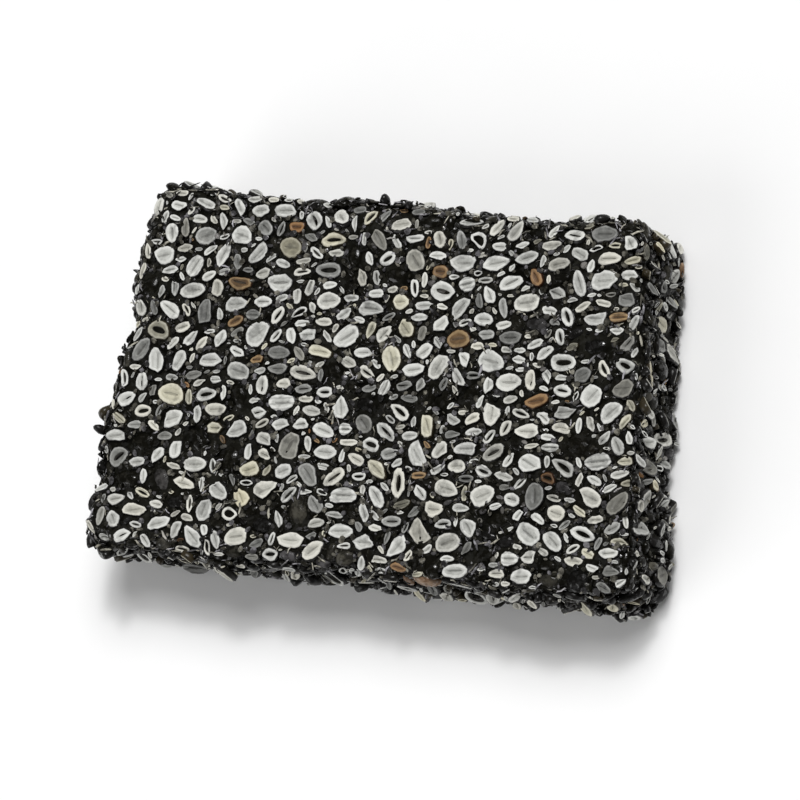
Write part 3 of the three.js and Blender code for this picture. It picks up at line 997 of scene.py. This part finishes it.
FACE_SHARES = (0.801, 0.075, 0.024, 0.1)    # pale, cream, amber and whole black seeds of a broad face
EDGE_SHARES = (0.03, 0.09, 0.54, 0.34)      # amber, cream, split and whole black seeds of the edges
DARK_PATCHES, DARK_BORDER, DARK_BANDS = 0.19, 0.45, 0.28    # how much the black seeds' share swings
DARK_SMALL = 0.55           # and how much larger it is among the smallest seeds
BORDER_REACH = 2.2          # how far in from the outline the border is worn
BIT_RANK = 1e6              # past the rank of every seed that is in the solid too


def loose_bits(rng, count, width, height, sizes, slimness):
    """Bits of half lengths and widths over lengths in these ranges, in the same columns as seeds."""
    half_long = rng.uniform(*sizes, count)
    u, v = (rng.random(count) - 0.5) * width, (rng.random(count) - 0.5) * height
    return np.stack([np.full(count, BIT_RANK), half_long, half_long * rng.uniform(*slimness, count),
                     u, v, rng.random(count) * TURN, rng.random(count)], 1)


def deal(seeds, rng, shares, dark):
    """Deals seeds out to kinds by share, with the last kind's share raised by how dark the place is."""
    shares = np.tile(np.array(shares), (len(seeds), 1))
    shares[:, -1] = np.clip(shares[:, -1] + dark, 0.02, 0.9)
    shares[:, :-1] *= ((1 - shares[:, -1]) / shares[:, :-1].sum(axis=1))[:, None]
    kind = (rng.random((len(seeds), 1)) > np.cumsum(shares, axis=1)).sum(axis=1)
    return [seeds[kind == k] for k in range(shares.shape[1])]


def sunk(stand, depth):
    """Origins and axes of seeds, each moved in against its own way out."""
    origins, axes = stand
    return origins - axes[:, 2] * depth[:, None], axes


# ---------------------------------------------------------------- the pieces of the broad faces

def add_face_seeds(seeds, top, place, detail, rng):
    """Cut seeds of three colours in a broad face, and whole black ones where it is worn or dark."""
    x, y = seeds[:, 3], seeds[:, 4]
    patches = unevenness(x, y, PATCH_LEVEL + top, PATCH_CELL)
    worn = ease(BORDER_REACH, 0.4, depth_inside(x, y)[0])
    dark = DARK_PATCHES * patches
    dark += DARK_BORDER * worn * (0.6 + unevenness(x, y, WORN_LEVEL + top, WORN_CELL))
    dark += DARK_SMALL * ease(0.55, 0.3, seeds[:, 1])
    pale, cream, amber, black = deal(seeds, rng, FACE_SHARES, dark)
    for label, kind, material, slot in (("cut", pale, cut_pale, "cut_seeds"),
                                        ("cream", cream, cut_cream, "cream_seeds"),
                                        ("amber", amber, cut_amber, "amber_seeds")):
        loose = kind[:, 0] >= (TOP_MODELLED if top else UNDER_MODELLED)
        stand = sunk(stand_on_face(kind, top), loose * rng.uniform(0, SETTLED, len(kind)))
        dress(cut_seed_mesh(f"{label}_seeds_{place}", kind, stand, rng, **detail), material)
    stand = stand_on_face(black, top, rng.normal(0, 0.12, len(black)))
    sink = WHOLE_FLATNESS * black[:, 2] + rng.uniform(-0.02, 0.12, len(black))
    piece = whole_seed_mesh(f"black_seeds_{place}", black, sunk(stand, sink), rng, around=10, stations=6)
    dress(piece, coat_black)


def face_flecks(name, bits, gap, top, rng, lean, proud, **shape):
    """Small bits on the syrup of a broad face, leaning and standing proud of it by up to so much."""
    stand = stand_on_face(bits, top, rng.normal(0, lean, len(bits)))
    sink = SYRUP_DEPTH + face_sag(gap) - rng.uniform(*proud, len(bits))
    return whole_seed_mesh(name, bits, sunk(stand, sink), rng, **FLECK, **shape)


def add_face_crumbs(circles, top, place, count, rng):
    """Crumbs in the gaps between the seeds of a broad face."""
    crumbs = loose_bits(rng, 5 * count, FACE_WIDE, FACE_TALL, sizes=(0.12, 0.42), slimness=(0.4, 0.9))
    x, y = crumbs[:, 3], crumbs[:, 4]
    depth, gap = depth_inside(x, y)[0], gap_to_nearest(x, y, circles)
    between = np.flatnonzero((gap > 0.0) & (depth > 0.5))[:count]
    piece = face_flecks(f"crumbs_{place}", crumbs[between], gap[between], top, rng, lean=0.4,
                        proud=(0.0, 0.2), dented=3.0, smooth=False)
    dress(piece, dim_bits)


def add_upper_husks(circles, rng):
    """Husks in the gaps of the upper face, most of them near its border and in patches: pale flakes of coat
    that also stand in for painted glints.
    """
    husks = loose_bits(rng, 8 * FACE_HUSKS, FACE_WIDE, FACE_TALL, sizes=(0.2, 0.7), slimness=(0.1, 0.22))
    x, y = husks[:, 3], husks[:, 4]
    depth, gap = depth_inside(x, y)[0], gap_to_nearest(x, y, circles)
    worn = ease(3.0, 0.6, depth) + ease(0.0, 0.4, unevenness(x, y, HUSK_LEVEL, HUSK_CELL))
    between = np.flatnonzero((depth > 0.3) & (gap > 0.0) & (rng.random(len(husks)) < worn))[:FACE_HUSKS]
    piece = face_flecks("husks_upper", husks[between], gap[between], True, rng, lean=0.35,
                        proud=(0.05, 0.3), bent=0.5)
    dress(piece, pale_bits_and_glints)


# ---------------------------------------------------------------- the pieces of the edges

def add_edge_seeds(seeds, rng):
    """Whole and split seeds bedded in the edges, with more of the black ones in some stretches."""
    bands = unevenness(seeds[:, 3], seeds[:, 4], BAND_LEVEL, BAND_CELL)
    amber, cream, pale, whole = deal(seeds, rng, EDGE_SHARES, DARK_BANDS * bands)
    for label, kind, material, slot in (("whole", whole, coat_black, "syrup_and_black_seeds"),
                                        ("split", pale, cut_pale, "cut_seeds"),
                                        ("cream", cream, cut_cream, "cream_seeds"),
                                        ("amber", amber, coat_amber, "amber_seeds")):
        name = f"{label}_seeds_edges"
        lean = (kind[:, 6] - 0.5) * np.where(kind[:, 0] < EDGE_MODELLED, MOST_LEAN, LOOSE_LEAN)
        if label in ("whole", "amber"):
            piece = whole_seed_mesh(name, kind, stand_on_edge(kind, EDGE_SINK, lean), rng, in_edge=True)
        else:
            sink, roll = rng.uniform(-0.4, 0.0, len(kind)), rng.normal(0, 0.3, len(kind))
            piece = cut_seed_mesh(name, kind, stand_on_edge(kind, sink, lean, roll), rng, **EDGE_DETAIL,
                                  empty_share=0.2, in_edge=True)
        dress(piece, material)


def add_arris_slivers(rng):
    """Thin splinters of seed that lie along the two arrises and turn out of them."""
    count = ARRIS_SLIVERS
    slivers = loose_bits(rng, count, OUTLINE_LENGTH, 0, sizes=(0.25, 0.85), slimness=(0.12, 0.3))
    side = np.where(rng.random(count) < 0.5, -1.0, 1.0)
    slivers[:, 4] = side * (THICKNESS / 2 - rng.uniform(0.15, 1.1, count))
    slivers[:, 5] = rng.normal(0, 0.3, count)
    sink, lean = rng.uniform(-0.1, 0.25, count), rng.normal(0, 0.2, count)
    stand = stand_on_edge(slivers, sink, lean, -side * rng.uniform(0.3, 1.1, count))
    piece = whole_seed_mesh("arris_slivers", slivers, stand, rng, **FLECK, dented=2.0, in_edge=True)
    dress(piece, pale_bits_and_glints)


def edge_flecks(name, bits, circles, rng, proud, **shape):
    """Small bits on the syrup of the edges, standing proud of it by up to so much."""
    sink = edge_sag(gap_to_nearest(bits[:, 3], bits[:, 4], circles)) - rng.uniform(*proud, len(bits))
    stand = stand_on_edge(bits, sink, rng.normal(0, 0.5, len(bits)))
    return whole_seed_mesh(name, bits, stand, rng, **FLECK, **shape, in_edge=True)


def add_edge_bits(circles, rng):
    """Husks and crumbs between the seeds of the edges; the pale husks also stand in for painted glints
    along the seed coats.
    """
    husks = loose_bits(rng, EDGE_HUSKS, OUTLINE_LENGTH, THICKNESS - 2 * ARRIS, sizes=(0.25, 0.7),
                       slimness=(0.1, 0.25))
    piece = edge_flecks("husks_edges", husks, circles, rng, proud=(0.0, 0.4), bent=0.5)
    dress(piece, pale_bits_and_glints)
    crumbs = loose_bits(rng, EDGE_CRUMBS, OUTLINE_LENGTH, THICKNESS - 2 * SYRUP_DEPTH, sizes=(0.12, 0.5),
                        slimness=(0.3, 0.85))
    piece = edge_flecks("crumbs_edges", crumbs, circles, rng, proud=(-0.1, 0.25), flatness=0.5,
                        dented=3.5, smooth=False)
    dress(piece, edge_bits)


# ---------------------------------------------------------------- the slab, put together

add_camera()
add_studio()

top_seeds, top_circles = lay_seeds(TOP_DRAWS, FACE_SEEDS, TOP_MODELLED, FACE_WIDE, FACE_TALL,
                                   FACE_GRAIN, face_reach)
under_seeds, under_circles = lay_seeds(UNDER_DRAWS, FACE_SEEDS, UNDER_MODELLED, FACE_WIDE, FACE_TALL,
                                       FACE_GRAIN, face_reach)
edge_seeds, edge_circles = lay_seeds(EDGE_DRAWS, EDGE_SEEDS, EDGE_MODELLED, OUTLINE_LENGTH, THICKNESS,
                                     EDGE_GRAIN, edge_reach)

rng = np.random.default_rng(LOOK_DRAWS)
dress(syrup_body("hard_syrup", top_circles, under_circles, edge_circles), dark_syrup)
add_face_seeds(top_seeds, True, "upper", UPPER_DETAIL, rng)
add_face_crumbs(top_circles, True, "upper", UPPER_CRUMBS, rng)
add_face_seeds(under_seeds, False, "under", UNDER_DETAIL, rng)
add_face_crumbs(under_circles, False, "under", UNDER_CRUMBS, rng)
add_upper_husks(top_circles, rng)
add_edge_seeds(edge_seeds, rng)
add_arris_slivers(rng)
add_edge_bits(edge_circles, rng)
